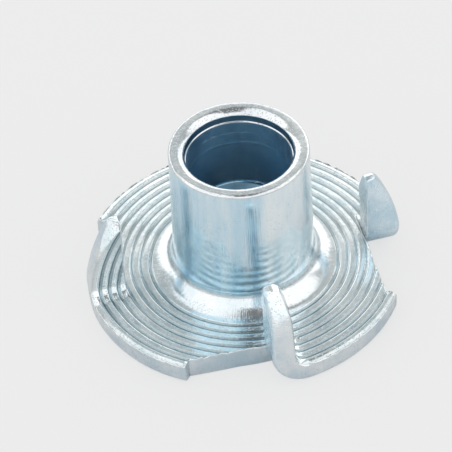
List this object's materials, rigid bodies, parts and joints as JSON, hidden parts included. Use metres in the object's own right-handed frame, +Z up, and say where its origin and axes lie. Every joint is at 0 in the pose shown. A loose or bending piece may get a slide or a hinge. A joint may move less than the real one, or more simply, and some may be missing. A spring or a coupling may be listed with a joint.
{
  "type": "tee nut",
  "caption": "Pressed steel tee nut with a threaded barrel, a ridged round flange and folded prongs that bite into wood.",
  "frame": {"origin": "centre of the flange's underside, on the barrel's axis", "axes": "+Z up the barrel from the flange to its open mouth, +X square to the sheared chord of one notch, with that notch's prong 2.8 degrees further round"},
  "size_m": [0.019, 0.019, 0.0102],
  "materials": {
    "zinc": "bright zinc plate with a faint blue tint on pressed steel"
  },
  "bodies": {
    "root": {"tee_nut": "zinc"}
  },
  "joints": []
}
